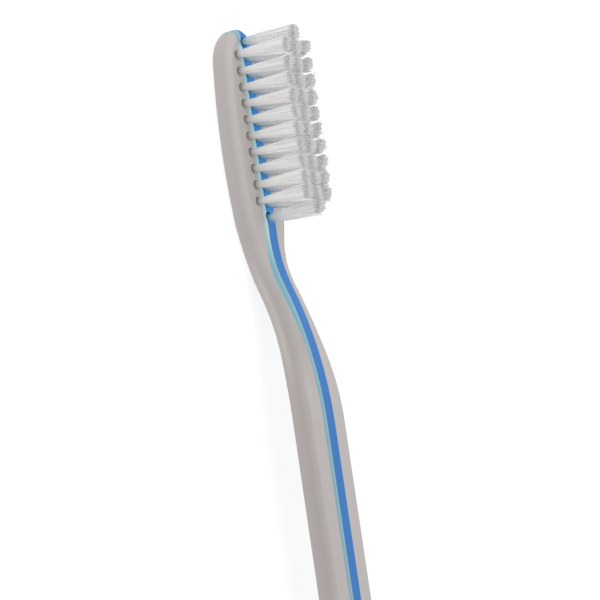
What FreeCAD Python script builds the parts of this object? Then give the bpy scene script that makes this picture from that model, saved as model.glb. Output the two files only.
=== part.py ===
# Manual toothbrush: a flat strip laminated from coloured plastic layers that stand on edge,
# cut to outline, rounded, bent at the neck and drilled, with 32 bristle tufts held by anchor plates.
# Frame: +X to the tip of the head, +Y to the side of the accent layer, +Z where the bristles point.
# The origin lies below the middle of the length, in the plane of the head's back. Millimetres.
import FreeCAD, Part
import math
import os
import Sketcher

# Tufts of a side row. The centre row has one more at each end.
SIDE_TUFTS = 10

SIZES = [
    ("length", 188.0, "tip of the head to the end of the handle"),
    ("sheet_thickness", 4.0, "thickness of the head and of the handle"),
    ("edge_round", 1.3, "rounding of the strip's long edges"),
    ("trim_allowance", 1.5, "waste around the outline before it is cut"),
    ("hole_diameter", 1.65, "drilled tuft hole"),
    ("pitch_wall", 1.1, "wall between two holes of a row"),
    ("end_wall", 0.75, "wall between the two last holes of the centre row"),
    ("row_wall", 0.6, "wall between two rows of holes"),
    ("tip_margin", 2.525, "last hole's centre to the tip of the head"),
    ("tip_radius", 2.4, "round end of the head in plan"),
    ("tip_corner_radius", 7.0, "corners beside the round end, in plan"),
    ("side_margin", 3.61, "side row's centre line to the widest place of the head"),
    ("widest_from_middle", 3.0, "widest place, behind the middle of the tuft field"),
    ("head_side_radius", 102.0, "bow of the head's sides in plan"),
    ("shoulder_from_field", 0.3, "end of the head's bow, behind the last hole's centre"),
    ("shoulder_radius", 14.0, "convex corner from the head into the neck, in plan"),
    ("neck_width", 7.3, "narrowest place of the neck"),
    ("neck_from_field", 10.4, "narrowest place, behind the last hole's centre"),
    ("neck_handle_radius", 93.0, "hollow of the neck towards the handle, in plan"),
    ("handle_width", 10.8, "width of the handle"),
    ("handle_shoulder_radius", 63.0, "convex corner from the neck into the handle, in plan"),
    ("bend_from_field", 3.6, "start of the bend, behind the last hole's centre"),
    ("head_bend_radius", 23.2, "bend next to the head, on the bristle side"),
    ("handle_bend_radius", 67.0, "bend next to the handle, on the bristle side"),
    ("handle_offset", 5.9, "height of the handle above the head, towards the bristles"),
    ("back_lead", 0.7, "the back starts to bend this much nearer to the head, which thins the neck"),
    ("core_width", 2.2, "core layer"),
    ("accent_width", 1.0, "accent layer, away from its swelling"),
    ("swell_from_field", 0.525, "start of the accent layer's swelling, behind the last hole's centre"),
    ("swell_length", 23.4, "length of the swelling"),
    ("swell_radius", 34.5, "radius of the three arcs of the swelling"),
    ("floor_thickness", 1.3, "plastic under a hole, without the drill point"),
    ("drill_angle", 118.0, "angle of the drill point"),
    ("tuft_clearance", 0.13, "tuft to the wall of its hole"),
    ("fold_height", 0.3, "folded filaments below an anchor plate"),
    ("fold_radius", 0.5, "rounded lower end of a folded tuft"),
    ("bristle_height", 10.5, "bristles above the head"),
    ("waist_height", 4.6, "height at which a tuft starts to open wider"),
    ("waist_flare", 0.25, "growth of a tuft's radius up to that height"),
    ("tuft_gap", 0.12, "gap that stays between neighbouring tufts at their cut ends"),
    ("row_splay", 0.5, "side rows lean out by this at their ends"),
    ("tuft_lean", 0.95, "all tufts lean towards the handle by this at their ends"),
    ("anchor_bite", 0.2, "depth to which an anchor plate cuts into the wall of its hole"),
    ("anchor_thickness", 0.25, "thickness of an anchor plate"),
    ("anchor_height", 1.3, "height of an anchor plate"),
]

doc = FreeCAD.newDocument("toothbrush")
sheet = doc.addObject("Spreadsheet::Sheet", "Sizes")
for row, (alias, number, note) in enumerate(SIZES, start=1):
    sheet.set(f"A{row}", note)
    sheet.set(f"B{row}", str(number))
    sheet.setAlias(f"B{row}", alias)
doc.recompute()

# Sizes and places that several pieces share, as expressions on the sheet.
PITCH = "(Sizes.hole_diameter + Sizes.pitch_wall)"
END_STEP = "(Sizes.hole_diameter + Sizes.end_wall)"
ROW_SPACING = "(Sizes.hole_diameter + Sizes.row_wall)"
HALF_ROW = f"({(SIDE_TUFTS - 1) / 2} * {PITCH})"
HALF_FIELD = f"({HALF_ROW} + {END_STEP})"
FIELD_MIDDLE = f"(Sizes.length / 2 - Sizes.tip_margin - {HALF_FIELD})"
FIELD_BACK = f"({FIELD_MIDDLE} - {HALF_FIELD})"
HEAD_HALF = f"({ROW_SPACING} + Sizes.side_margin)"
HANDLE_HALF = "(Sizes.handle_width / 2)"
NECK_HALF = "(Sizes.neck_width / 2)"
WIDEST = f"({FIELD_MIDDLE} - Sizes.widest_from_middle)"
SHOULDER = f"({FIELD_BACK} - Sizes.shoulder_from_field)"
NECK = f"({FIELD_BACK} - Sizes.neck_from_field)"
BEND = f"({FIELD_BACK} - Sizes.bend_from_field)"
SWELL_START = f"({FIELD_BACK} - Sizes.swell_from_field)"
SWELL_END = f"({SWELL_START} - Sizes.swell_length)"
STRIPE_HALF = "((Sizes.core_width + Sizes.accent_width) / 2)"
ACCENT_INNER = f"({STRIPE_HALF} - Sizes.accent_width)"
BLANK_HALF = f"(max({HEAD_HALF}; {HANDLE_HALF}) + Sizes.trim_allowance)"
BLANK_END = "(Sizes.length / 2 + Sizes.trim_allowance)"
WASTE_HALF = f"({BLANK_HALF} + Sizes.trim_allowance)"
WASTE_END = f"({BLANK_END} + Sizes.trim_allowance)"
FULL_HEIGHT = "(Sizes.sheet_thickness + Sizes.handle_offset)"
HOLE_DEPTH = "(Sizes.sheet_thickness - Sizes.floor_thickness)"
BORE = "(Sizes.hole_diameter / 2 - Sizes.tuft_clearance)"
ANCHOR_LENGTH = "(Sizes.hole_diameter + 2 * Sizes.anchor_bite)"
TUFT_END_RADIUS = f"(({END_STEP} - Sizes.tuft_gap) / 2)"

# Names for the sketcher's numbers, and the largest tilt of a wall that counts as upright.
START, END, CENTER = 1, 2, 3
X_AXIS, ORIGIN = -1, (-1, 1)
UPRIGHT = 1e-6


def value(formula):
    """Present value of an expression on the sheet, in millimetres."""
    return float(sheet.evalExpression(formula.replace("Sizes.", "")))


def origin_plane(body, role):
    return next(plane for plane in body.Origin.OriginFeatures if plane.Role == role)


def new_sketch(body, name, role):
    sketch = body.newObject("Sketcher::SketchObject", name)
    sketch.AttachmentSupport = (origin_plane(body, role), [""])
    sketch.MapMode = "FlatFace"
    return sketch


def line(sketch, start, end):
    segment = Part.LineSegment(FreeCAD.Vector(*start, 0), FreeCAD.Vector(*end, 0))
    return sketch.addGeometry(segment, False)


def arc(sketch, center, radius, from_degrees, to_degrees):
    circle = Part.Circle(FreeCAD.Vector(*center, 0), FreeCAD.Vector(0, 0, 1), radius)
    piece = Part.ArcOfCircle(circle, math.radians(from_degrees), math.radians(to_degrees))
    return sketch.addGeometry(piece, False)


def constrain(sketch, kind, *items):
    return sketch.addConstraint(Sketcher.Constraint(kind, *items))


def dimension(sketch, kind, *items_and_formula):
    """Add a dimension whose value follows an expression on the sheet."""
    *items, formula = items_and_formula
    index = constrain(sketch, kind, *items, value(formula))
    sketch.setExpression(f"Constraints[{index}]", formula)


def bind(thing, **formulas):
    """Tie properties to the sheet; x, y and z stand for the place of the piece."""
    for name, formula in formulas.items():
        path = f"Placement.Base.{name}" if name in ("x", "y", "z") else name
        thing.setExpression(path, formula)


# The blank: the bent strip, trimmed to its outline, rounded and drilled.
def side_profile(body):
    """Side view of the bent strip: two flats joined by two tangent arcs, front and back."""
    sketch = new_sketch(body, "side_profile", "XZ_Plane")
    thick, rise = value("Sizes.sheet_thickness"), value("Sizes.handle_offset")
    near, far = value("Sizes.head_bend_radius"), value("Sizes.handle_bend_radius")
    end, bend, lead = value(BLANK_END), value(BEND), value("Sizes.back_lead")
    turn = math.degrees(math.acos(1 - rise / (near + far)))
    level = bend - (near + far) * math.sin(math.radians(turn))
    near_center, far_center = (bend, thick + near), (level, thick + rise - far)

    head_front = line(sketch, (end, thick), (bend, thick))
    near_front = arc(sketch, near_center, near, 270 - turn, 270)
    far_front = arc(sketch, far_center, far, 90 - turn, 90)
    handle_front = line(sketch, (level, thick + rise), (-end, thick + rise))
    tail = line(sketch, (-end, thick + rise), (-end, rise))
    handle_back = line(sketch, (-end, rise), (level + lead, rise))
    far_back = arc(sketch, (level + lead, far_center[1]), far - thick, 90 - turn, 90)
    near_back = arc(sketch, (bend + lead, near_center[1]), near + thick, 270 - turn, 270)
    head_back = line(sketch, (bend + lead, 0), (end, 0))
    tip = line(sketch, (end, 0), (end, thick))

    constrain(sketch, "Tangent", head_front, END, near_front, END)
    constrain(sketch, "Tangent", near_front, START, far_front, START)
    constrain(sketch, "Tangent", far_front, END, handle_front, START)
    constrain(sketch, "Coincident", handle_front, END, tail, START)
    constrain(sketch, "Coincident", tail, END, handle_back, START)
    constrain(sketch, "Tangent", handle_back, END, far_back, END)
    constrain(sketch, "Tangent", far_back, START, near_back, START)
    constrain(sketch, "Tangent", near_back, END, head_back, START)
    constrain(sketch, "Coincident", head_back, END, tip, START)
    constrain(sketch, "Coincident", tip, END, head_front, START)
    for flat in (head_front, handle_front, handle_back, head_back):
        constrain(sketch, "Horizontal", flat)
    for upright in (tail, tip):
        constrain(sketch, "Vertical", upright)
    for front, back in ((near_front, near_back), (far_front, far_back)):
        constrain(sketch, "Horizontal", front, CENTER, back, CENTER)
        dimension(sketch, "DistanceX", front, CENTER, back, CENTER, "Sizes.back_lead")
    constrain(sketch, "PointOnObject", head_back, END, X_AXIS)
    dimension(sketch, "Radius", near_front, "Sizes.head_bend_radius")
    dimension(sketch, "Radius", far_front, "Sizes.handle_bend_radius")
    dimension(sketch, "DistanceY", tip, START, tip, END, "Sizes.sheet_thickness")
    dimension(sketch, "DistanceY", head_front, START, handle_front, START, "Sizes.handle_offset")
    dimension(sketch, "DistanceX", *ORIGIN, tip, START, BLANK_END)
    dimension(sketch, "DistanceX", tail, START, *ORIGIN, BLANK_END)
    dimension(sketch, "DistanceX", *ORIGIN, head_front, END, BEND)
    return sketch


def touch_point(center, radius, other_center):
    """Point of a circle that faces another centre, where two tangent circles meet."""
    way = (FreeCAD.Vector(*other_center, 0) - FreeCAD.Vector(*center, 0)).normalize()
    return FreeCAD.Vector(*center, 0) + way * radius


def nested_center(large_center, large, small_center, small, radius):
    """Centre of an arc that lies inside a large circle, around a small one, and touches both."""
    base = FreeCAD.Vector(*large_center, 0)
    way = FreeCAD.Vector(*small_center, 0) - base
    apart = way.Length
    along = ((large - radius) ** 2 - (radius - small) ** 2 + apart ** 2) / (2 * apart)
    aside = math.sqrt((large - radius) ** 2 - along ** 2)
    way.normalize()
    center = base + way * along + FreeCAD.Vector(-way.y, way.x, 0) * aside
    return center.x, center.y


def angle_of(center, point):
    return math.degrees(math.atan2(point[1] - center[1], point[0] - center[0])) % 360


def plan_waste(body):
    """Everything around the brush's outline: a rectangle with the outline as its opening."""
    sketch = new_sketch(body, "plan_waste", "XY_Plane")
    half_length, widest, neck = value("Sizes.length / 2"), value(WIDEST), value(NECK)
    head_half, neck_half, handle_half = value(HEAD_HALF), value(NECK_HALF), value(HANDLE_HALF)
    tip, nose = value("Sizes.tip_radius"), value("Sizes.tip_corner_radius")
    side, shoulder = value("Sizes.head_side_radius"), value("Sizes.shoulder_radius")
    hollow, corner = value("Sizes.neck_handle_radius"), value("Sizes.handle_shoulder_radius")

    # Centres of the arcs of the upper half, from the tip to the handle.
    tip_center = (half_length - tip, 0)
    side_center = (widest, head_half - side)
    nose_center = nested_center(side_center, side, tip_center, tip, nose)
    lean = math.asin((value(SHOULDER) - widest) / side)
    shoulder_center = (widest + (side - shoulder) * math.sin(lean),
                       side_center[1] + (side - shoulder) * math.cos(lean))
    across, below = shoulder_center[0] - neck, neck_half - shoulder_center[1]
    near_hollow = (across ** 2 + below ** 2 - shoulder ** 2) / (2 * (shoulder - below))
    near_center, far_center = (neck, neck_half + near_hollow), (neck, neck_half + hollow)
    drop = far_center[1] - (handle_half - corner)
    corner_center = (neck - math.sqrt((hollow + corner) ** 2 - drop ** 2), handle_half - corner)
    tail_center = (handle_half - half_length, 0)

    # Points where neighbouring arcs touch.
    at_tip = touch_point(nose_center, nose, tip_center)
    at_nose = touch_point(side_center, side, nose_center)
    at_side = touch_point(side_center, side, shoulder_center)
    at_shoulder = touch_point(near_center, near_hollow, shoulder_center)
    at_neck = (neck, neck_half)
    at_corner = touch_point(far_center, hollow, corner_center)
    at_handle = (corner_center[0], handle_half)
    at_tail = (tail_center[0], handle_half)

    def both_halves(center, radius, first_point, last_point):
        """One arc of the upper half, counterclockwise, and its mirror image."""
        first, last = angle_of(center, first_point), angle_of(center, last_point)
        mirrored = (center[0], -center[1])
        return arc(sketch, center, radius, first, last), arc(sketch, mirrored, radius, -last, -first)

    tip_angle = angle_of(tip_center, at_tip)
    tip_arc = arc(sketch, tip_center, tip, -tip_angle, tip_angle)
    nose_up, nose_low = both_halves(nose_center, nose, at_tip, at_nose)
    side_up, side_low = both_halves(side_center, side, at_nose, at_side)
    shoulder_up, shoulder_low = both_halves(shoulder_center, shoulder, at_side, at_shoulder)
    near_up, near_low = both_halves(near_center, near_hollow, at_neck, at_shoulder)
    far_up, far_low = both_halves(far_center, hollow, at_corner, at_neck)
    corner_up, corner_low = both_halves(corner_center, corner, at_corner, at_handle)
    edge_up = line(sketch, at_handle, at_tail)
    edge_low = line(sketch, (at_tail[0], -at_tail[1]), (at_handle[0], -at_handle[1]))
    tail_arc = arc(sketch, tail_center, handle_half, 90, 270)

    # Upper half: tangent all along, held by radii and centres.
    constrain(sketch, "Tangent", tip_arc, END, nose_up, START)
    constrain(sketch, "Tangent", nose_up, END, side_up, START)
    constrain(sketch, "Tangent", side_up, END, shoulder_up, START)
    constrain(sketch, "Tangent", shoulder_up, END, near_up, END)
    constrain(sketch, "Tangent", near_up, START, far_up, END)
    constrain(sketch, "Tangent", far_up, START, corner_up, START)
    constrain(sketch, "Tangent", corner_up, END, edge_up, START)
    constrain(sketch, "Tangent", edge_up, END, tail_arc, START)
    constrain(sketch, "Horizontal", edge_up)
    constrain(sketch, "Vertical", near_up, CENTER, near_up, START)
    constrain(sketch, "PointOnObject", tip_arc, CENTER, X_AXIS)
    constrain(sketch, "PointOnObject", tail_arc, CENTER, X_AXIS)
    dimension(sketch, "Radius", tip_arc, "Sizes.tip_radius")
    dimension(sketch, "Radius", nose_up, "Sizes.tip_corner_radius")
    dimension(sketch, "Radius", side_up, "Sizes.head_side_radius")
    dimension(sketch, "Radius", shoulder_up, "Sizes.shoulder_radius")
    dimension(sketch, "Radius", far_up, "Sizes.neck_handle_radius")
    dimension(sketch, "Radius", corner_up, "Sizes.handle_shoulder_radius")
    dimension(sketch, "DistanceX", *ORIGIN, side_up, CENTER, WIDEST)
    dimension(sketch, "DistanceY", side_up, CENTER, *ORIGIN, f"Sizes.head_side_radius - {HEAD_HALF}")
    dimension(sketch, "DistanceX", *ORIGIN, side_up, END, SHOULDER)
    dimension(sketch, "DistanceX", *ORIGIN, near_up, START, NECK)
    dimension(sketch, "DistanceY", *ORIGIN, near_up, START, NECK_HALF)
    dimension(sketch, "DistanceY", *ORIGIN, edge_up, START, HANDLE_HALF)
    dimension(sketch, "DistanceX", tail_arc, CENTER, *ORIGIN, f"Sizes.length / 2 - {HANDLE_HALF}")
    end_point = sketch.addGeometry(Part.Point(FreeCAD.Vector(half_length, 0, 0)), True)
    constrain(sketch, "PointOnObject", end_point, START, X_AXIS)
    constrain(sketch, "PointOnObject", end_point, START, tip_arc)
    dimension(sketch, "DistanceX", *ORIGIN, end_point, START, "Sizes.length / 2")

    # Lower half: the mirror image of the upper one.
    pairs = ((nose_up, nose_low), (side_up, side_low), (shoulder_up, shoulder_low), (near_up, near_low),
             (far_up, far_low), (corner_up, corner_low))
    for upper, lower in pairs:
        constrain(sketch, "Equal", upper, lower)
    joins = ((nose_up, END, nose_low, START, side_low, END),
             (side_up, END, side_low, START, shoulder_low, END),
             (shoulder_up, END, shoulder_low, START, near_low, START),
             (near_up, START, near_low, END, far_low, START),
             (far_up, START, far_low, END, corner_low, END),
             (corner_up, END, corner_low, START, edge_low, END))
    for upper, upper_end, lower, lower_end, following, following_end in joins:
        constrain(sketch, "Coincident", lower, lower_end, following, following_end)
        constrain(sketch, "Symmetric", upper, upper_end, lower, lower_end, X_AXIS)
    constrain(sketch, "Coincident", nose_low, END, tip_arc, START)
    constrain(sketch, "Coincident", edge_low, START, tail_arc, END)
    constrain(sketch, "Vertical", tip_arc, START, tip_arc, END)
    constrain(sketch, "Vertical", tail_arc, START, tail_arc, END)
    frame_rectangle(sketch)
    return sketch


def frame_rectangle(sketch):
    """Outer border of the waste, clear of the blank."""
    x, y = value(WASTE_END), value(WASTE_HALF)
    corners = [(x, y), (-x, y), (-x, -y), (x, -y)]
    sides = [line(sketch, corners[i], corners[(i + 1) % 4]) for i in range(4)]
    for i, edge in enumerate(sides):
        constrain(sketch, "Coincident", edge, END, sides[(i + 1) % 4], START)
        constrain(sketch, "Vertical" if i % 2 else "Horizontal", edge)
    dimension(sketch, "DistanceX", *ORIGIN, sides[0], START, WASTE_END)
    dimension(sketch, "DistanceX", sides[1], START, *ORIGIN, WASTE_END)
    dimension(sketch, "DistanceY", *ORIGIN, sides[0], START, WASTE_HALF)
    dimension(sketch, "DistanceY", sides[2], START, *ORIGIN, WASTE_HALF)


def outline_edges(shape):
    """Names of the edges where the upright outline meets the strip's front or back."""
    names = []
    for number, edge in enumerate(shape.Edges, start=1):
        walls = 0
        faces = shape.ancestorsOfType(edge, Part.Face)
        for face in faces:
            low_u, high_u, low_v, high_v = face.ParameterRange
            normal = face.normalAt((low_u + high_u) / 2, (low_v + high_v) / 2)
            walls += abs(normal.z) < UPRIGHT
        if len(faces) == 2 and walls == 1:
            names.append(f"Edge{number}")
    return names


def tuft_field():
    """Label, side and place along X of each tuft, row by row from the tip of the head."""
    places = [f"{FIELD_MIDDLE} + {HALF_ROW} - {step} * {PITCH}" for step in range(SIDE_TUFTS)]
    ends = [f"{FIELD_MIDDLE} + {HALF_FIELD}", f"{FIELD_MIDDLE} - {HALF_FIELD}"]
    rows = (("left", 1, places), ("center", 0, [ends[0], *places, ends[1]]), ("right", -1, places))
    return [(f"{name}_{number:02d}", side, place)
            for name, side, row_places in rows
            for number, place in enumerate(row_places, start=1)]


def make_blank():
    body = doc.addObject("PartDesign::Body", "blank")
    strip = body.newObject("PartDesign::Pad", "bent_strip")
    strip.Profile = side_profile(body)
    strip.Midplane = True
    bind(strip, Length=f"2 * {BLANK_HALF}")
    doc.recompute()

    trim = body.newObject("PartDesign::Pocket", "trim_to_outline")
    trim.Profile = plan_waste(body)
    trim.Midplane = True
    bind(trim, Length=f"4 * {FULL_HEIGHT}")
    doc.recompute()

    rounding = body.newObject("PartDesign::Fillet", "rounded_edges")
    rounding.Base = (trim, outline_edges(trim.Shape))
    bind(rounding, Radius="Sizes.edge_round")
    doc.recompute()

    drilling = new_sketch(body, "tuft_field", "XY_Plane")
    drilling.setExpression("AttachmentOffset.Base.z", "Sizes.sheet_thickness")
    first = None
    for _, side, place in tuft_field():
        spot = FreeCAD.Vector(value(place), side * value(ROW_SPACING), 0)
        ring = Part.Circle(spot, FreeCAD.Vector(0, 0, 1), value("Sizes.hole_diameter / 2"))
        hole = drilling.addGeometry(ring, False)
        dimension(drilling, "DistanceX", *ORIGIN, hole, CENTER, place)
        if side > 0:
            dimension(drilling, "DistanceY", *ORIGIN, hole, CENTER, ROW_SPACING)
        elif side < 0:
            dimension(drilling, "DistanceY", hole, CENTER, *ORIGIN, ROW_SPACING)
        else:
            constrain(drilling, "PointOnObject", hole, CENTER, X_AXIS)
        if first is None:
            first = hole
            dimension(drilling, "Radius", first, "Sizes.hole_diameter / 2")
        else:
            constrain(drilling, "Equal", first, hole)
    doc.recompute()
    holes = body.newObject("PartDesign::Hole", "tuft_holes")
    holes.Profile = drilling
    doc.recompute()
    holes.DepthType = "Dimension"
    holes.DrillPoint = "Angled"
    bind(holes, Diameter="Sizes.hole_diameter", Depth=HOLE_DEPTH, DrillPointAngle="Sizes.drill_angle")
    doc.recompute()
    body.Tip = holes
    return body


# Anchor plates: one across each hole, on the folded filaments.
def make_anchors():
    plates = []
    for label, side, place in tuft_field():
        plate = doc.addObject("Part::Box", f"anchor_{label}")
        bind(plate, Length=ANCHOR_LENGTH, Width="Sizes.anchor_thickness", Height="Sizes.anchor_height",
             x=f"{place} - {ANCHOR_LENGTH} / 2",
             y=f"{side} * {ROW_SPACING} - Sizes.anchor_thickness / 2",
             z="Sizes.floor_thickness + Sizes.fold_height")
        plates.append(plate)
    group = doc.addObject("Part::Compound", "anchor_plates")
    group.Links = plates
    return group, plates


# Layers of the laminated strip: the blank, cut along the glue lines.
def make_slab(name, low, high):
    """Upright slab over the whole strip, between two glue lines."""
    slab = doc.addObject("Part::Box", name)
    bind(slab, Length=f"2 * {WASTE_END}", Width=f"{high} - {low}",
         Height=f"{FULL_HEIGHT} + 2 * Sizes.trim_allowance",
         x=f"-{WASTE_END}", y=low, z="-Sizes.trim_allowance")
    return slab


def make_accent_slab():
    """Slab of the accent layer, whose outer glue line bulges in the neck by three equal arcs."""
    body = doc.addObject("PartDesign::Body", "accent_slab")
    sketch = new_sketch(body, "glue_lines", "XY_Plane")
    end, start, stop = value(WASTE_END), value(SWELL_START), value(SWELL_END)
    inner, outer, radius = value(ACCENT_INNER), value(STRIPE_HALF), value("Sizes.swell_radius")
    turn = math.degrees(math.asin((start - stop) / (4 * radius)))
    crest = ((start + stop) / 2, outer + radius - 2 * radius * math.cos(math.radians(turn)))

    head_line = line(sketch, (end, outer), (start, outer))
    rise = arc(sketch, (start, outer + radius), radius, 270 - turn, 270)
    top = arc(sketch, crest, radius, 90 - turn, 90 + turn)
    fall = arc(sketch, (stop, outer + radius), radius, 270, 270 + turn)
    handle_line = line(sketch, (stop, outer), (-end, outer))
    tail_side = line(sketch, (-end, outer), (-end, inner))
    inner_line = line(sketch, (-end, inner), (end, inner))
    tip_side = line(sketch, (end, inner), (end, outer))

    constrain(sketch, "Tangent", head_line, END, rise, END)
    constrain(sketch, "Tangent", rise, START, top, START)
    constrain(sketch, "Tangent", top, END, fall, END)
    constrain(sketch, "Tangent", fall, START, handle_line, START)
    constrain(sketch, "Coincident", handle_line, END, tail_side, START)
    constrain(sketch, "Coincident", tail_side, END, inner_line, START)
    constrain(sketch, "Coincident", inner_line, END, tip_side, START)
    constrain(sketch, "Coincident", tip_side, END, head_line, START)
    for flat in (head_line, handle_line, inner_line):
        constrain(sketch, "Horizontal", flat)
    for upright in (tail_side, tip_side):
        constrain(sketch, "Vertical", upright)
    constrain(sketch, "Horizontal", head_line, END, handle_line, START)
    constrain(sketch, "Equal", rise, top)
    constrain(sketch, "Equal", rise, fall)
    dimension(sketch, "Radius", rise, "Sizes.swell_radius")
    dimension(sketch, "DistanceX", *ORIGIN, rise, END, SWELL_START)
    dimension(sketch, "DistanceX", *ORIGIN, fall, START, SWELL_END)
    dimension(sketch, "DistanceY", *ORIGIN, head_line, START, STRIPE_HALF)
    dimension(sketch, "DistanceY", *ORIGIN, inner_line, START, ACCENT_INNER)
    dimension(sketch, "DistanceX", *ORIGIN, tip_side, START, WASTE_END)
    dimension(sketch, "DistanceX", tail_side, START, *ORIGIN, WASTE_END)

    slab = body.newObject("PartDesign::Pad", "accent_sheet")
    slab.Profile = sketch
    slab.Midplane = True
    bind(slab, Length=f"4 * {FULL_HEIGHT}")
    doc.recompute()
    return body


def boolean(kind, name, base, tool):
    result = doc.addObject(f"Part::{kind}", name)
    result.Base = base
    result.Tool = tool
    return result


def make_layers(blank, anchors):
    """Four layers that meet face to face, with a bite for each anchor plate."""
    pierced = boolean("Cut", "pierced_blank", blank, anchors)
    accent_slab = make_accent_slab()
    left_slab = make_slab("left_slab", ACCENT_INNER, BLANK_HALF)
    core_slab = make_slab("core_slab", f"-{STRIPE_HALF}", ACCENT_INNER)
    right_slab = make_slab("right_slab", f"-{BLANK_HALF}", f"-{STRIPE_HALF}")
    left_part = boolean("Common", "left_part", pierced, left_slab)
    return [
        boolean("Cut", "left_handle_layer", left_part, accent_slab),
        boolean("Common", "accent_layer", pierced, accent_slab),
        boolean("Common", "core_layer", pierced, core_slab),
        boolean("Common", "right_handle_layer", pierced, right_slab),
    ]


# Tufts: folded bundles that fill their holes, then lean out and open towards the cut ends.
def make_tuft(label, side, place, plate):
    """Bundle lofted through five rings, with a slot for its anchor plate."""
    part_way = "Sizes.waist_height / Sizes.bristle_height"
    rings = []
    for ring_name, height, radius, way in (
            ("fold", "Sizes.floor_thickness", "Sizes.fold_radius", "0"),
            ("seat", "Sizes.floor_thickness + Sizes.fold_height", BORE, "0"),
            ("mouth", "Sizes.sheet_thickness", BORE, "0"),
            ("waist", "Sizes.sheet_thickness + Sizes.waist_height", f"{BORE} + Sizes.waist_flare", part_way),
            ("end", "Sizes.sheet_thickness + Sizes.bristle_height", TUFT_END_RADIUS, "1")):
        ring = doc.addObject("Part::Circle", f"{ring_name}_{label}")
        bind(ring, Radius=radius, z=height, x=f"{place} - {way} * Sizes.tuft_lean",
             y=f"{side} * ({ROW_SPACING} + {way} * Sizes.row_splay)")
        rings.append(ring)
    bundle = doc.addObject("Part::Loft", f"bundle_{label}")
    bundle.Sections = rings
    bundle.Solid = True
    bundle.Ruled = True
    return boolean("Cut", f"tuft_{label}", bundle, plate)


def make_tufts(plates):
    return [make_tuft(*tuft, plate) for tuft, plate in zip(tuft_field(), plates)]


def check(pieces):
    """Stop if any object failed or any piece isn't a sound solid."""
    failed = [thing.Label for thing in doc.Objects if {"Invalid", "Error"} & set(thing.State)]
    unsound = [piece.Label for piece in pieces
               if piece.Shape.isNull() or not piece.Shape.isValid() or not piece.Shape.Solids]
    if failed or unsound:
        raise RuntimeError(f"failed objects {failed}, unsound pieces {unsound}")


def main():
    blank = make_blank()
    anchors, plates = make_anchors()
    layers = make_layers(blank, anchors)
    tufts = make_tufts(plates)
    doc.recompute()
    pieces = [*layers, *tufts, anchors]
    check(pieces)
    os.makedirs("parts", exist_ok=True)
    for piece in pieces:
        piece.Shape.exportStep(os.path.join("parts", f"{piece.Label}.step"))
        print(f"{piece.Label}: {len(piece.Shape.Solids)} solid, {piece.Shape.Volume:.3f} mm3")


main()
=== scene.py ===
import math
import random

import bmesh
import bpy
from mathutils import Matrix, Vector


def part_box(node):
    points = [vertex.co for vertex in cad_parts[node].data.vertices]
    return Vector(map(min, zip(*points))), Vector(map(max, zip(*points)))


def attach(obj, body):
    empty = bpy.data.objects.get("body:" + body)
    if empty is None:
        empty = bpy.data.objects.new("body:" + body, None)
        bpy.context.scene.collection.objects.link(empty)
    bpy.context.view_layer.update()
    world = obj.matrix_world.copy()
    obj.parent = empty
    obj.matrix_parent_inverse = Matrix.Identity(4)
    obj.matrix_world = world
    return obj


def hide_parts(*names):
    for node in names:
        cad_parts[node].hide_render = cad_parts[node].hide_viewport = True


MM = 0.001

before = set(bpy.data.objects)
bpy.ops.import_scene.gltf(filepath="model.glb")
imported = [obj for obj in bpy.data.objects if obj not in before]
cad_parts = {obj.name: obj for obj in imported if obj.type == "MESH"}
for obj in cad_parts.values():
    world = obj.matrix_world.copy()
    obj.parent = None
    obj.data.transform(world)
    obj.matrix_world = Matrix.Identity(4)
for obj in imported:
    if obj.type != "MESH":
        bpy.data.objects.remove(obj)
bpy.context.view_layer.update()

# The strip: its thickness, and its bend between head and handle, a tight arc and a wide one that turn by
# the same angle.
STRIP_THICKNESS = 4.0 * MM
HANDLE_OFFSET = 5.9 * MM
HEAD_BEND_RADIUS = 23.2 * MM
HANDLE_BEND_RADIUS = 67.0 * MM
BEND_TURN = math.acos(1 - HANDLE_OFFSET / (HEAD_BEND_RADIUS + HANDLE_BEND_RADIUS))
BEND_START = 58.3 * MM
BEND_MIDDLE = BEND_START - HEAD_BEND_RADIUS * math.sin(BEND_TURN)
BEND_END = BEND_MIDDLE - HANDLE_BEND_RADIUS * math.sin(BEND_TURN)

# The accent layer between its glue lines, the swelling of the outer one beside the neck, and how far the
# colours on its two sides run into each other.
ACCENT_INNER = 0.6 * MM
ACCENT_OUTER = 1.6 * MM
SWELL_END = 38.0 * MM
SWELL_START = 61.4 * MM
SWELL_CREST = 1.0 * MM
GLUE_BLEED = 0.3 * MM

# The stretch of the head along X that holds the tufts.
FIELD_BACK = 61.9 * MM
FIELD_FRONT = 90.5 * MM

# Heights on the head, whose back is at 0: the anchor plates' edges, the front face, and the tufts' waist
# and ends. The points of a tuft solid's ring lie within SAME_HEIGHT of its height.
PLATE_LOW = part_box("anchor_plates")[0].z
PLATE_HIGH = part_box("anchor_plates")[1].z
HEAD_FRONT = STRIP_THICKNESS
WAIST = HEAD_FRONT + 4.6 * MM
BRISTLE_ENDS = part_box("tuft_center_01")[1].z
SAME_HEIGHT = 0.01 * MM

# Nylon filaments: spread over a tuft by the golden angle, folded under a plate, led past it, and bundled
# a little tighter at the mouth of the hole.
FILAMENT_RADIUS = 0.1 * MM
FILAMENT_SIDES = 5
LIMBS_PER_TUFT = 160
GOLDEN_ANGLE = math.radians(137.508)
PLATE_HALF = 0.125 * MM
FOLD_DROP = 0.1 * MM
MOUTH_PINCH = 0.85

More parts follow.
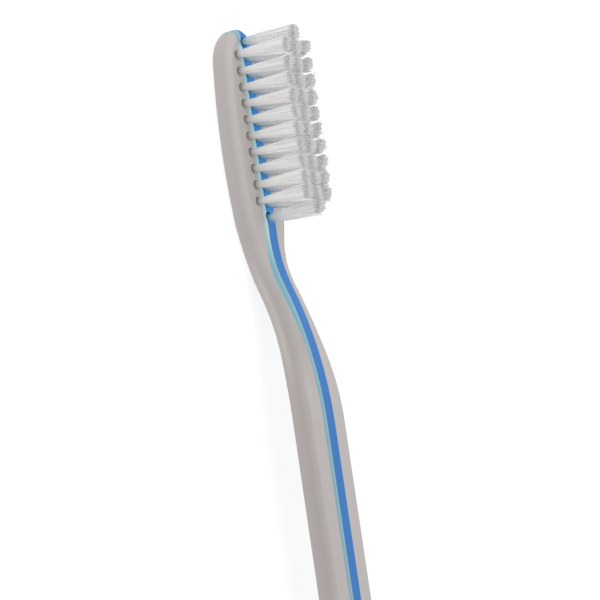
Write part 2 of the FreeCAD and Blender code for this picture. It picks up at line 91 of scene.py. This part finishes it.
# How far each row's tufts lie from their CAD solids, along X at the mouth and at the waist and along Y at
# the mouth, and how wide they are at the waist and at the ends, as shares of the solids.
ROW_SHIFTS = {"left": (0, 0), "center": (-0.22 * MM, -0.36 * MM), "right": (-0.2 * MM, -0.32 * MM)}
ROW_SIDE_SHIFTS = {"left": -0.2 * MM, "center": 0, "right": 0}
ROW_WAISTS = {"left": 0.94, "center": 1.04, "right": 1.04}
ROW_ENDS = {"left": 1.18, "center": 1.18, "right": 1.1}

# The tufts near the ends of the rows: how much further their cut ends lean towards the tip, and their own
# shifts and waists where these differ from their row's.
END_LEANS = {"tuft_left_01": 0.3 * MM, "tuft_left_09": 0.15 * MM, "tuft_left_10": 0.4 * MM,
             "tuft_center_01": 0.25 * MM, "tuft_center_11": 0.2 * MM, "tuft_center_12": 0.55 * MM,
             "tuft_right_01": 0.3 * MM, "tuft_right_09": 0.15 * MM, "tuft_right_10": 0.45 * MM}
OWN_SHIFTS = {"tuft_left_01": (0.1 * MM, 0.12 * MM), "tuft_center_01": (0.1 * MM, 0.05 * MM),
              "tuft_center_12": (-0.22 * MM, -0.25 * MM)}
OWN_WAISTS = {"tuft_left_01": 1.1, "tuft_center_01": 1.35, "tuft_center_12": 1.25, "tuft_right_10": 1.25}

# Stations of a limb from the fold to its end: its level, its thickness there, and how much it has the
# painted shade of the root and the tone of the cut end. Numbers for a level are shares of the length above
# the head.
LIMB_STATIONS = (("plate_low", 1, 1, 0), ("plate_high", 1, 1, 0), (0, 1, 1, 0), (0.12, 1, 0.25, 0),
                 (0.36, 1, 0, 0), (0.93, 1, 0, 0), (0.985, 1, 0, 0.5), (1, 0.6, 0, 1))

# Stations of a whole filament, from one end to the other: side, turn of the section, and a limb's station.
STATIONS = ([(-1, -math.pi / 2, *station) for station in reversed(LIMB_STATIONS)]
            + [(1, 0, "fold", 1, 1, 0)]
            + [(1, math.pi / 2, *station) for station in LIMB_STATIONS])

# Cut ends: how far they stray from an even bundle, a few of them further, how much the limbs differ in
# length, and the slope of the cut, for each row along X and by chance for each tuft.
END_JITTER = 0.1 * MM
STRAY_SHARE = 0.05
STRAY_REACH = 0.5 * MM
LENGTH_JITTER = 0.07 * MM
ROW_TILTS = {"left": 0.05, "center": 0.1, "right": 0.35}
CUT_TILT = 0.18
SEED = 41

# Linear colours of the layers where they run into each other, and how far the accent layer is paler from
# its inner glue line.
PEARL = (0.411, 0.384, 0.369)
ACCENT_BLUE = (0.143, 0.328, 0.414)
ACCENT_PALE = (0.250, 0.425, 0.460)
PALE_REACH = 0.9 * MM

# Tones are factors on a colour. The pearl layers have their own at the head and on the handle: painted
# shade on the left layer's side and painted light on the right layer's front face, both stronger on the
# handle.
PLAIN = (1, 1, 1)
LEFT_PAINTED_SHADE = ((0.938, 0.933, 0.932), (0.912, 0.885, 0.887))
RIGHT_PAINTED_LIGHT = ((1.000, 1.000, 1.010), (1.040, 1.040, 1.060))

# Painted light and shade on the left layer by its height in the strip, as shares of the thickness: painted
# lighter towards its back, painted shade on the rounded edge of neck and handle, and painted lighter again
# on their front face.
HEAD_PAINTED_SHADING = ((0.0, (1.08, 1.08, 1.095)), (0.7, PLAIN))
NECK_PAINTED_SHADING = ((0.0, (1.15, 1.15, 1.15)), (0.25, (1.10, 1.10, 1.10)), (0.46, (1.18, 1.18, 1.18)),
                (0.68, (0.905, 0.905, 0.905)), (0.95, (0.815, 0.815, 0.815)), (1.0, (0.955, 0.955, 0.955)))
HANDLE_PAINTED_SHADING = ((0.0, (1.07, 1.07, 1.08)), (0.5, PLAIN), (0.78, (0.935, 0.935, 0.935)),
                  (0.94, (0.945, 0.95, 0.95)), (0.995, (1.1, 1.125, 1.14)))

# Where along X this painted shading passes from the head's to the neck's, and on to the handle's.
TO_NECK = (BEND_START, BEND_START - 10 * MM)
TO_HANDLE = (BEND_END + 14 * MM, BEND_END + 3 * MM)

# Painted light between the tufts, for the light that milky nylon scatters down to the layers: how much
# lighter the layers are painted there, and over what length that fades.
ACCENT_PAINTED_LIGHT = (1.95, 1.58, 1.32)
CORE_PAINTED_LIGHT = (2.4, 1.5, 1.26)
FIELD_FADE = 1.5 * MM
ACCENT_FADE = 10 * MM

# The same painted light in the left row's holes: how much lighter their walls are painted, and where the
# walls begin, across the head, from its tip, from the neck, and by height from the front face.
HOLE_PAINTED_LIGHT = (2.00, 1.88, 1.84)
HOLES_SIDE = (3.3 * MM, 3.1 * MM)
HOLES_FRONT = (90.4 * MM, 89.9 * MM)
HOLES_BACK = (FIELD_BACK - FIELD_FADE, FIELD_BACK)
HOLES_MOUTH = (1.0, 0.97)

# Grain of the finishes along X, Y and Z: streaks in the plastics, flakes in pearl, and marks on the brass.
PEARL_STREAKS = (30 * MM, 1.1 * MM, 1.1 * MM)
PEARL_FLAKES = (0.5 * MM, 0.12 * MM, 0.12 * MM)
LIGHT_BLUE_STREAKS = (20 * MM, 0.5 * MM, 1 * MM)
BLUE_STREAKS = (14 * MM, 0.6 * MM, 1 * MM)
BRASS_MARKS = (0.6 * MM, 0.05 * MM, 0.03 * MM)

# Plastic: the least and the most tone and roughness that this grain gives it, how far the streaks stand
# out, and its gloss.
FLAKE_TONES = (0.985, 1.015)
PEARL_ROUGHNESS = (0.50, 0.60)
PEARL_RELIEF = 0.008 * MM
LIGHT_BLUE_TONES = (0.97, 1.03)
BLUE_ROUGHNESS = (0.36, 0.44)
BLUE_RELIEF = 0.006 * MM
PLASTIC_GLOSS = 0.35

# The values of a noise that are spread between two numbers; few lie outside them.
NOISE_RANGE = (0.3, 0.7)

# Brass: the least and the most roughness of its marks.
BRASS_ROUGHNESS = (0.22, 0.38)

# Nylon: its gloss and refraction, the tone of cut ends, the painted shade of roots in pearl, and the
# painted blue reflection of roots in blue plastic.
NYLON_ROUGHNESS = 0.4
NYLON_IOR = 1.53
CUT_TONE = (0.53, 0.53, 0.525)
PAINTED_ROOT_SHADE_IN_PEARL = (0.80, 0.785, 0.775)
PAINTED_ROOT_REFLECTION_IN_BLUE = (0.20, 0.46, 0.72)

# Camera: angles about the head, in degrees, and the point that it looks at.
VIEW_SIDE = 56.0
VIEW_BELOW = 8.751
VIEW_ROLL = 8.388
AIM = Vector((48.117, -5.357, 4.073)) * MM
VIEW_DISTANCE = 594.0 * MM
SENSOR = 36.0
LENS = 216.0
CLIP_START = 10 * MM

# Light: how many surfaces of filaments it passes, the world, two lamps that face the head, and the floor.
SURFACES_PASSED = 256
WORLD_LIGHT = 0.72
LAMP_TARGET = Vector((76.7, 0, 4)) * MM
KEY_DIRECTION = (0.45, 0.15, 0.88)
KEY_DISTANCE = 600 * MM
KEY_SIZE = 300 * MM
KEY_ENERGY = 1.6
FILL_DIRECTION = (0.35, 0.75, 0.55)
FILL_DISTANCE = 160 * MM
FILL_SIZE = 120 * MM
FILL_ENERGY = 0.04
FLOOR_HALF = 1.5
FLOOR_GLOW = 0.84
FLOOR_SHADED = 0.20


# Shader nodes
def start_material(name):
    """A new material, its node tree and its shader."""
    material = bpy.data.materials.new(name)
    material.use_nodes = True
    tree = material.node_tree
    return material, tree, tree.nodes["Principled BSDF"]


def object_coordinates(tree):
    return tree.nodes.new("ShaderNodeTexCoord").outputs["Object"]


def axes(tree, vector):
    """The X, Y and Z values of a vector."""
    node = tree.nodes.new("ShaderNodeSeparateXYZ")
    tree.links.new(vector, node.inputs[0])
    return node.outputs["X"], node.outputs["Y"], node.outputs["Z"]


def attribute(tree, name):
    """A number that the mesh holds for each of its points."""
    node = tree.nodes.new("ShaderNodeAttribute")
    node.attribute_name = name
    return node.outputs["Fac"]


def number_node(tree, operation, *values):
    """Arithmetic on numbers, each a socket or a plain number."""
    node = tree.nodes.new("ShaderNodeMath")
    node.operation = operation
    for socket, value in zip(node.inputs, values):
        if isinstance(value, (int, float)):
            socket.default_value = value
        else:
            tree.links.new(value, socket)
    return node.outputs[0]


def map_range(tree, value, source, target, interpolation="LINEAR"):
    """A value carried over from one range to another, and held beyond its ends."""
    node = tree.nodes.new("ShaderNodeMapRange")
    node.interpolation_type = interpolation
    node.inputs["From Min"].default_value = source[0]
    node.inputs["From Max"].default_value = source[1]
    node.inputs["To Min"].default_value = target[0]
    node.inputs["To Max"].default_value = target[1]
    tree.links.new(value, node.inputs["Value"])
    return node.outputs["Result"]


def fade(tree, value, start, end):
    """Smooth step from 0 at start to 1 at end."""
    return map_range(tree, value, (start, end), (0, 1), "SMOOTHSTEP")


def spread(tree, value, low, high):
    """A noise value, spread between two numbers."""
    return map_range(tree, value, NOISE_RANGE, (low, high))


def noise(tree, vector, grain, detail):
    """Noise whose grain has these sizes along X, Y and Z."""
    mapping = tree.nodes.new("ShaderNodeMapping")
    mapping.inputs["Scale"].default_value = [1 / size for size in grain]
    tree.links.new(vector, mapping.inputs["Vector"])
    texture = tree.nodes.new("ShaderNodeTexNoise")
    texture.inputs["Scale"].default_value = 1
    texture.inputs["Detail"].default_value = detail
    tree.links.new(mapping.outputs[0], texture.inputs["Vector"])
    return texture.outputs["Fac"]


def ramp(tree, value, *stops):
    """Colours by a value, each stop a place and a linear colour."""
    node = tree.nodes.new("ShaderNodeValToRGB")
    elements = node.color_ramp.elements
    while len(elements) < len(stops):
        elements.new(0.5)
    for element, (place, color) in zip(elements, stops):
        element.position = place
        element.color = (*color, 1)
    tree.links.new(value, node.inputs[0])
    return node.outputs["Color"]


def blend(tree, share, first, second):
    """Mix of two colours, each a socket or a plain colour."""
    node = tree.nodes.new("ShaderNodeMix")
    node.data_type = "RGBA"
    tree.links.new(share, node.inputs[0])
    for socket, color in zip((node.inputs[6], node.inputs[7]), (first, second)):
        if isinstance(color, tuple):
            socket.default_value = (*color, 1)
        else:
            tree.links.new(color, socket)
    return node.outputs[2]


def multiply(tree, first, second):
    """Product of a colour and another colour or a grey value."""
    node = tree.nodes.new("ShaderNodeMix")
    node.data_type = "RGBA"
    node.blend_type = "MULTIPLY"
    node.inputs[0].default_value = 1
    tree.links.new(first, node.inputs[6])
    tree.links.new(second, node.inputs[7])
    return node.outputs[2]


def toned(tree, color, share, tone):
    """A colour that has this tone where the share is 1."""
    return multiply(tree, color, blend(tree, share, PLAIN, tone))


def bump(tree, height, depth):
    """Relief of this depth, by a height from 0 to 1."""
    node = tree.nodes.new("ShaderNodeBump")
    node.inputs["Strength"].default_value = 1
    node.inputs["Distance"].default_value = depth
    tree.links.new(height, node.inputs["Height"])
    return node.outputs["Normal"]


# Places on the strip, as shader nodes
def arc_depth(tree, along, level_end, steep_end, radius):
    """How far an arc has left its level end, from none there to the most at its steep end and beyond."""
    run = map_range(tree, along, (level_end, steep_end), (0, abs(steep_end - level_end)))
    squared = number_node(tree, "MULTIPLY", run, run)
    rest = number_node(tree, "SUBTRACT", radius ** 2, squared)
    return number_node(tree, "SUBTRACT", radius, number_node(tree, "SQRT", rest))


def strip_coordinates(tree):
    """Object coordinates with the bend of the neck taken out, so that a grain follows the strip."""
    x, y, z = axes(tree, object_coordinates(tree))
    risen = arc_depth(tree, x, BEND_START, BEND_MIDDLE, HEAD_BEND_RADIUS)
    to_rise = arc_depth(tree, x, BEND_END, BEND_MIDDLE, HANDLE_BEND_RADIUS)
    wide_rise = HANDLE_BEND_RADIUS * (1 - math.cos(BEND_TURN))
    rise = number_node(tree, "ADD", risen, number_node(tree, "SUBTRACT", wide_rise, to_rise))
    joined = tree.nodes.new("ShaderNodeCombineXYZ")
    tree.links.new(x, joined.inputs["X"])
    tree.links.new(y, joined.inputs["Y"])
    tree.links.new(number_node(tree, "SUBTRACT", z, rise), joined.inputs["Z"])
    return joined.outputs[0]


def beyond_glue_line(tree):
    """Distance outwards from the accent layer's outer glue line, which swells beside the neck."""
    x, y, _ = axes(tree, object_coordinates(tree))
    turn = map_range(tree, x, (SWELL_END, SWELL_START), (0, math.tau))
    wave = number_node(tree, "COSINE", turn)
    swell = number_node(tree, "MULTIPLY", wave, -SWELL_CREST / 2)
    line = number_node(tree, "ADD", swell, ACCENT_OUTER + SWELL_CREST / 2)
    return number_node(tree, "SUBTRACT", y, line)


def between_tufts(tree, back_fade):
    """1 on the stretch of the head that holds the tufts, 0 beyond it."""
    x, _, _ = axes(tree, object_coordinates(tree))
    start = fade(tree, x, FIELD_BACK - back_fade, FIELD_BACK)
    end = fade(tree, x, FIELD_FRONT + FIELD_FADE, FIELD_FRONT)
    return number_node(tree, "MULTIPLY", start, end)


def in_holes(tree, height):
    """1 on the walls of the left row's holes, 0 on the outside of the strip."""
    x, y, _ = axes(tree, object_coordinates(tree))
    share = fade(tree, height, *HOLES_MOUTH)
    for place, edge in ((y, HOLES_SIDE), (x, HOLES_FRONT), (x, HOLES_BACK)):
        share = number_node(tree, "MULTIPLY", share, fade(tree, place, *edge))
    return share


# Finishes
def finish_plastic(tree, shader, color, streaks, roughness, relief):
    """Satin plastic of this colour, whose streaks change its roughness and stand out a little."""
    tree.links.new(color, shader.inputs["Base Color"])
    tree.links.new(spread(tree, streaks, *roughness), shader.inputs["Roughness"])
    tree.links.new(bump(tree, streaks, relief), shader.inputs["Normal"])
    shader.inputs["Specular IOR Level"].default_value = PLASTIC_GLOSS


def left_layer_color(tree, color, x, height):
    """Pearl with painted light and shade by height in the strip and painted light on the holes' walls, with
    light blue that bleeds in along the accent's glue line.
    """
    # Painted light and shade by height in the strip, for the head, the neck and the handle.
    shade = blend(tree, fade(tree, x, *TO_NECK),
                  ramp(tree, height, *HEAD_PAINTED_SHADING), ramp(tree, height, *NECK_PAINTED_SHADING))
    shade = blend(tree, fade(tree, x, *TO_HANDLE), shade, ramp(tree, height, *HANDLE_PAINTED_SHADING))
    # Painted light on the walls of the left row's holes.
    color = toned(tree, multiply(tree, color, shade), in_holes(tree, height), HOLE_PAINTED_LIGHT)
    bleed = fade(tree, beyond_glue_line(tree), GLUE_BLEED, -GLUE_BLEED)
    return blend(tree, bleed, color, ACCENT_BLUE)


def pearl_plastic(name, tones, is_left):
    """Satin pearl grey with faint lengthwise streaks and finer flakes, and painted light and shade that
    differ between the layers and along the strip.
    """
    material, tree, shader = start_material(name)
    along = strip_coordinates(tree)
    x, _, z = axes(tree, along)
    streaks = noise(tree, along, PEARL_STREAKS, detail=4)
    flakes = noise(tree, along, PEARL_FLAKES, detail=2)
    color = ramp(tree, streaks,
                 (0.36, (0.430, 0.406, 0.391)),
                 (0.47, (0.436, 0.406, 0.390)),
                 (0.55, (0.432, 0.405, 0.390)),
                 (0.66, (0.440, 0.414, 0.400)))
    color = multiply(tree, color, spread(tree, flakes, *FLAKE_TONES))
    # Painted shade or painted light of this layer, passing from the head's to the handle's.
    color = multiply(tree, color, blend(tree, fade(tree, x, BEND_START, BEND_END), *tones))
    if is_left:
        height = number_node(tree, "DIVIDE", z, STRIP_THICKNESS)
        color = left_layer_color(tree, color, x, height)
    finish_plastic(tree, shader, color, streaks, PEARL_ROUGHNESS, PEARL_RELIEF)
    return material


def light_blue_plastic():
    """Light blue, paler and greener towards the core layer, with pearl that bleeds in at its outer face and
    painted light between the tufts.
    """
    material, tree, shader = start_material("light_blue_plastic_finish")
    _, y, _ = axes(tree, object_coordinates(tree))
    streaks = noise(tree, strip_coordinates(tree), LIGHT_BLUE_STREAKS, detail=3)
    inward = fade(tree, y, ACCENT_INNER + PALE_REACH, ACCENT_INNER)
    color = blend(tree, inward, ACCENT_BLUE, ACCENT_PALE)
    bleed = fade(tree, beyond_glue_line(tree), -GLUE_BLEED, GLUE_BLEED)
    color = blend(tree, bleed, color, PEARL)
    color = multiply(tree, color, spread(tree, streaks, *LIGHT_BLUE_TONES))
    # Painted light on the layer between the tufts.
    color = toned(tree, color, between_tufts(tree, ACCENT_FADE), ACCENT_PAINTED_LIGHT)
    finish_plastic(tree, shader, color, streaks, BLUE_ROUGHNESS, BLUE_RELIEF)
    return material


def blue_plastic():
    """Strong blue with faint streaks along the strip, and painted light between the tufts."""
    material, tree, shader = start_material("blue_plastic_finish")
    streaks = noise(tree, strip_coordinates(tree), BLUE_STREAKS, detail=4)
    color = ramp(tree, streaks,
                 (0.36, (0.015, 0.148, 0.438)),
                 (0.64, (0.022, 0.160, 0.458)))
    # Painted light on the layer between the tufts.
    color = toned(tree, color, between_tufts(tree, FIELD_FADE), CORE_PAINTED_LIGHT)
    finish_plastic(tree, shader, color, streaks, BLUE_ROUGHNESS, BLUE_RELIEF)
    return material


def nylon_bristle(name, painted_root_tone):
    """Milky nylon: each filament has its own shade, its root has painted shade and the hole's colour
    painted on as reflected light, and cut ends are greyer.

    Light passes such fine filaments, so they cast no shadow.
    """
    material, tree, shader = start_material(name)
    color = ramp(tree, attribute(tree, "tone"),
                 (0.0, (0.85, 0.845, 0.845)),
                 (1.0, (0.90, 0.89, 0.885)))
    color = toned(tree, color, attribute(tree, "cut"), CUT_TONE)
    # Painted shade and painted reflected colour of the hole at the filaments' roots.
    color = toned(tree, color, attribute(tree, "root"), painted_root_tone)
    tree.links.new(color, shader.inputs["Base Color"])
    shader.inputs["Roughness"].default_value = NYLON_ROUGHNESS
    shader.inputs["IOR"].default_value = NYLON_IOR
    through = tree.nodes.new("ShaderNodeBsdfTransparent")
    choice = tree.nodes.new("ShaderNodeMixShader")
    path = tree.nodes.new("ShaderNodeLightPath")
    tree.links.new(path.outputs["Is Shadow Ray"], choice.inputs[0])
    tree.links.new(shader.outputs[0], choice.inputs[1])
    tree.links.new(through.outputs[0], choice.inputs[2])
    tree.links.new(choice.outputs[0], tree.nodes["Material Output"].inputs["Surface"])
    return material


def anchor_brass():
    """Brass with fine drawing marks along the plates."""
    material, tree, shader = start_material("anchor_brass_finish")
    drawn = noise(tree, object_coordinates(tree), BRASS_MARKS, detail=2)
    color = ramp(tree, drawn,
                 (0.35, (0.62, 0.44, 0.17)),
                 (0.65, (0.76, 0.57, 0.26)))
    tree.links.new(color, shader.inputs["Base Color"])
    tree.links.new(spread(tree, drawn, *BRASS_ROUGHNESS), shader.inputs["Roughness"])
    shader.inputs["Metallic"].default_value = 1
    return material


def dress(node, material):
    """Give a CAD piece its finish."""
    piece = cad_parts[node]
    piece.data.materials.clear()
    piece.data.materials.append(material)


# Tufts
def ring_of(node, height):
    """Centre and radius of a tuft solid's ring at this height."""
    points = [v.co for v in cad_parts[node].data.vertices if abs(v.co.z - height) < SAME_HEIGHT]
    low = Vector(min(point[axis] for point in points) for axis in range(3))
    high = Vector(max(point[axis] for point in points) for axis in range(3))
    return (low + high) / 2, (high.x - low.x) / 2


def through_stations(values, height):
    """Parabola through the values at the mouth, the waist and the cut ends, and level below the mouth."""
    heights = (HEAD_FRONT, WAIST, BRISTLE_ENDS)
    height = max(height, HEAD_FRONT)
    shares = []
    for here in heights:
        others = [other for other in heights if other != here]
        shares.append(math.prod((height - other) / (here - other) for other in others))
    return shares[0] * values[0] + shares[1] * values[1] + shares[2] * values[2]


class Bundle:
    """Shape of one tuft: its axis and its radius at each height, near those of the CAD solid."""

    def __init__(self, node):
        row = node.split("_")[1]
        self.row = row
        self.mouth, mouth_radius = ring_of(node, HEAD_FRONT)
        self.waist, waist_radius = ring_of(node, WAIST)
        self.end, end_radius = ring_of(node, BRISTLE_ENDS)
        shifts = OWN_SHIFTS.get(node, ROW_SHIFTS[row])
        lean = END_LEANS.get(node, 0)
        self.mouth += Vector((shifts[0], ROW_SIDE_SHIFTS[row], 0))
        self.waist.x += shifts[1] + lean * (WAIST - HEAD_FRONT) / (BRISTLE_ENDS - HEAD_FRONT)
        self.end.x += lean
        waist_share = OWN_WAISTS.get(node, ROW_WAISTS[row])
        widths = (mouth_radius * MOUTH_PINCH, waist_radius * waist_share, end_radius * ROW_ENDS[row])
        self.radii = [width - FILAMENT_RADIUS for width in widths]

    def radius(self, height):
        return through_stations(self.radii, height)

    def axis(self, height):
        place = through_stations((self.mouth, self.waist, self.end), height)
        return place.x, place.y


def straight_filament():
    """Closed rod with one ring per station, a unit apart, to be bent into a hairpin."""
    bm = bmesh.new()
    bmesh.ops.create_circle(bm, segments=FILAMENT_SIDES, radius=FILAMENT_RADIUS, cap_ends=True)
    end = bm.faces[:][0]
    for _ in range(len(STATIONS) - 1):
        grown = bmesh.ops.extrude_face_region(bm, geom=[end])["geom"]
        end = next(part for part in grown if isinstance(part, bmesh.types.BMFace))
        bmesh.ops.translate(bm, vec=(0, 0, 1), verts=end.verts)
    bmesh.ops.recalc_face_normals(bm, faces=bm.faces)
    for face in bm.faces:
        face.smooth = len(face.verts) == 4
    mesh = bpy.data.meshes.new("straight_filament")
    bm.to_mesh(mesh)
    bm.free()
    return mesh


def disc_places(count, phase):
    """Places spread evenly over half a unit disc, each standing for itself and its mirror image."""
    places = []
    for number in range(count):
        reach = math.sqrt((number + 0.5) / count)
        angle = phase + number * GOLDEN_ANGLE
        if math.sin(angle) > 0:
            places.append((reach * math.cos(angle), reach * math.sin(angle)))
    return places


def grow_limb(rng, bundle, place, side, tilt):
    """Length of a limb above the head, and where its end strays to."""
    reach = END_JITTER
    if rng.random() < STRAY_SHARE:
        reach = STRAY_REACH
    cut = bundle.radii[2] * (tilt[0] * place[0] + tilt[1] * side * place[1])
    length = BRISTLE_ENDS - HEAD_FRONT + cut - abs(rng.gauss(0, LENGTH_JITTER))
    return {"length": length, "stray": (rng.gauss(0, reach), rng.gauss(0, reach))}


def limb_point(bundle, place, side, limb, level):
    """Point of a limb's centre line at one of its levels."""
    across, out = place
    if level == "fold":
        x, y = bundle.axis(PLATE_LOW)
        return Vector((x + across * bundle.radii[0], y, PLATE_LOW - FILAMENT_RADIUS - FOLD_DROP))
    if level in ("plate_low", "plate_high"):
        height = PLATE_LOW if level == "plate_low" else PLATE_HIGH
        x, y = bundle.axis(height)
        clear = PLATE_HALF + FILAMENT_RADIUS
        beside = clear + out * (bundle.radii[0] - clear)
        return Vector((x + across * bundle.radii[0], y + side * beside, height))
    height = HEAD_FRONT + level * limb["length"]
    x, y = bundle.axis(height)
    radius = bundle.radius(height)
    bend = level ** 2
    return Vector((x + across * radius + bend * limb["stray"][0],
                   y + side * out * radius + bend * limb["stray"][1], height))


def add_filament(bm, rod, centers, shade):
    """Bend a rod so that its rings lie at these centres, and give it its shade and tones."""
    before = len(bm.verts)
    bm.from_mesh(rod)
    tone, root, cut = (bm.verts.layers.float[name] for name in ("tone", "root", "cut"))
    for vert in bm.verts[before:]:
        station = round(vert.co.z)
        _, turn, _, thickness, painted_root_share, cut_share = STATIONS[station]
        sideways = Vector((0, -math.sin(turn), math.cos(turn)))
        offset = Vector((vert.co.x, 0, 0)) + vert.co.y * sideways
        vert.co = centers[station] + thickness * offset
        vert[tone] = shade
        vert[root] = painted_root_share
        vert[cut] = cut_share


def make_tuft(node, number, rod, material):
    """Tuft of folded filaments that stands for a CAD tuft."""
    rng = random.Random(SEED + number)
    bundle = Bundle(node)
    tilt = (ROW_TILTS[bundle.row] + rng.uniform(-CUT_TILT, CUT_TILT), rng.uniform(-CUT_TILT, CUT_TILT))
    bm = bmesh.new()
    for name in ("tone", "root", "cut"):
        bm.verts.layers.float.new(name)
    for place in disc_places(LIMBS_PER_TUFT, rng.uniform(0, math.tau)):
        limbs = {side: grow_limb(rng, bundle, place, side, tilt) for side in (-1, 1)}
        shade = rng.random()
        centers = [limb_point(bundle, place, side, limbs[side], level) for side, _, level, *_ in STATIONS]
        add_filament(bm, rod, centers, shade)
    mesh = bpy.data.meshes.new(node.replace("tuft", "bristles"))
    bm.to_mesh(mesh)
    bm.free()
    mesh.materials.append(material)
    piece = bpy.data.objects.new(mesh.name, mesh)
    bpy.context.scene.collection.objects.link(piece)
    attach(piece, "root")
    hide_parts(node)


# Stage
def floor_material():
    """White floor that glows like a light table and keeps a pale shadow of the brush."""
    material, tree, shader = start_material("studio_white")
    tree.nodes.remove(shader)
    glow = tree.nodes.new("ShaderNodeEmission")
    glow.inputs["Strength"].default_value = FLOOR_GLOW
    shaded = tree.nodes.new("ShaderNodeBsdfDiffuse")
    shaded.inputs["Color"].default_value = (FLOOR_SHADED, FLOOR_SHADED, FLOOR_SHADED, 1)
    both = tree.nodes.new("ShaderNodeAddShader")
    tree.links.new(glow.outputs[0], both.inputs[0])
    tree.links.new(shaded.outputs[0], both.inputs[1])
    tree.links.new(both.outputs[0], tree.nodes["Material Output"].inputs["Surface"])
    return material


def make_floor():
    """Floor that the back of the head lies on."""
    bm = bmesh.new()
    bmesh.ops.create_grid(bm, x_segments=1, y_segments=1, size=FLOOR_HALF)
    mesh = bpy.data.meshes.new("floor")
    bm.to_mesh(mesh)
    bm.free()
    mesh.materials.append(floor_material())
    floor = bpy.data.objects.new("floor", mesh)
    bpy.context.scene.collection.objects.link(floor)


def seen_rays(tree):
    """1 for rays from the camera, from a reflection or through clear material, otherwise 0."""
    path = tree.nodes.new("ShaderNodeLightPath")
    total = path.outputs["Is Camera Ray"]
    for name in ("Is Glossy Ray", "Is Transmission Ray"):
        total = number_node(tree, "MAXIMUM", total, path.outputs[name])
    return total


def make_world():
    """Even white light, with a pure white backdrop for the rays that see it."""
    world = bpy.data.worlds.new("studio")
    bpy.context.scene.world = world
    world.use_nodes = True
    tree = world.node_tree
    light = tree.nodes["Background"]
    light.inputs["Color"].default_value = (1, 1, 1, 1)
    light.inputs["Strength"].default_value = WORLD_LIGHT
    backdrop = tree.nodes.new("ShaderNodeBackground")
    backdrop.inputs["Color"].default_value = (1, 1, 1, 1)
    choice = tree.nodes.new("ShaderNodeMixShader")
    tree.links.new(seen_rays(tree), choice.inputs[0])
    tree.links.new(light.outputs[0], choice.inputs[1])
    tree.links.new(backdrop.outputs[0], choice.inputs[2])
    tree.links.new(choice.outputs[0], tree.nodes["World Output"].inputs["Surface"])


def make_lamp(name, direction, distance, size, energy):
    """Square soft box that faces the head."""
    lamp = bpy.data.lights.new(name, "AREA")
    lamp.size = size
    lamp.energy = energy
    piece = bpy.data.objects.new(name, lamp)
    toward = Vector(direction).normalized()
    piece.location = LAMP_TARGET + toward * distance
    piece.rotation_euler = toward.to_track_quat("Z", "Y").to_euler()
    bpy.context.scene.collection.objects.link(piece)


def make_camera():
    """Camera to the left of the bristles, a little below the head, with the tip of the head up."""
    side, below, roll = (math.radians(angle) for angle in (VIEW_SIDE, VIEW_BELOW, VIEW_ROLL))
    lifted = Vector((0, math.sin(side), math.cos(side)))
    back = lifted * math.cos(below) - Vector((math.sin(below), 0, 0))
    level = Vector((0, -math.cos(side), math.sin(side)))
    tip_up = lifted * math.sin(below) + Vector((math.cos(below), 0, 0))
    right = level * math.cos(roll) - tip_up * math.sin(roll)
    up = level * math.sin(roll) + tip_up * math.cos(roll)
    data = bpy.data.cameras.new("camera")
    data.sensor_width = SENSOR
    data.lens = LENS
    data.clip_start = CLIP_START
    camera = bpy.data.objects.new("camera", data)
    camera.matrix_world = (Matrix.Translation(AIM + back * VIEW_DISTANCE)
                           @ Matrix((right, up, back)).transposed().to_4x4())
    bpy.context.scene.collection.objects.link(camera)
    bpy.context.scene.camera = camera


bpy.context.scene.view_settings.view_transform = "Standard"
bpy.context.scene.cycles.transparent_max_bounces = SURFACES_PASSED
# The two pearl layers share one pearl and differ in painted shading: darker on the left layer's side,
# lighter on the right layer's front face.
dress("left_handle_layer", pearl_plastic("left_pearl_finish", LEFT_PAINTED_SHADE, True))
dress("right_handle_layer", pearl_plastic("right_pearl_finish", RIGHT_PAINTED_LIGHT, False))
dress("accent_layer", light_blue_plastic())
dress("core_layer", blue_plastic())
dress("anchor_plates", anchor_brass())
rod = straight_filament()
# Two copies of nylon that differ only in the painted shade and reflected colour at their roots.
nylon_in_pearl = nylon_bristle("nylon_in_pearl_finish", PAINTED_ROOT_SHADE_IN_PEARL)
nylon_in_blue = nylon_bristle("nylon_in_blue_finish", PAINTED_ROOT_REFLECTION_IN_BLUE)
tufts = sorted(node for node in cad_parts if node.startswith("tuft_"))
for number, node in enumerate(tufts):
    make_tuft(node, number, rod, nylon_in_blue if "center" in node else nylon_in_pearl)
make_floor()
make_world()
make_lamp("key", KEY_DIRECTION, KEY_DISTANCE, KEY_SIZE, KEY_ENERGY)
make_lamp("fill", FILL_DIRECTION, FILL_DISTANCE, FILL_SIZE, FILL_ENERGY)
make_camera()
